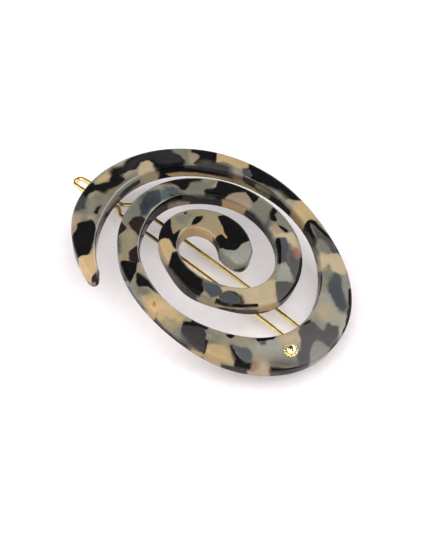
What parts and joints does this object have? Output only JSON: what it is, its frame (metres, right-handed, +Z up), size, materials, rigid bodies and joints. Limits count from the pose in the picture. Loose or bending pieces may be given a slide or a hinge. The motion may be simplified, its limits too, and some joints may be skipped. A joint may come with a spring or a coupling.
{
  "type": "hair barrette",
  "caption": "Openwork hair barrette: an arched spiral plate of mottled translucent acetate over a gold wire clasp that swings on a hinge and closes on a catch.",
  "frame": {"origin": "middle of the bounding box, on the surface that the closed barrette lies on with its clasp down", "axes": "+X along the clasp towards its hinge, +Y across the clasp, +Z up from the surface to the plate's face"},
  "size_m": [0.0875, 0.0574, 0.0137],
  "materials": {
    "acetate": "polished, mottled translucent",
    "wire": "polished gold plate",
    "bracket": "gold plate",
    "catch": "gold plate",
    "stud": "polished gold plate"
  },
  "bodies": {
    "plate": {"spiral_plate": "acetate", "hinge_bracket": "bracket", "catch_post": "catch", "stud": "stud"},
    "bow": {"clasp_bow": "wire"}
  },
  "joints": [
    {"name": "clasp_hinge", "type": "hinge", "parent": "plate", "child": "bow", "pos_m": [0.03706, 0, 0.0013], "axis": [0, -1, 0], "range_deg": [0, 70]}
  ]
}
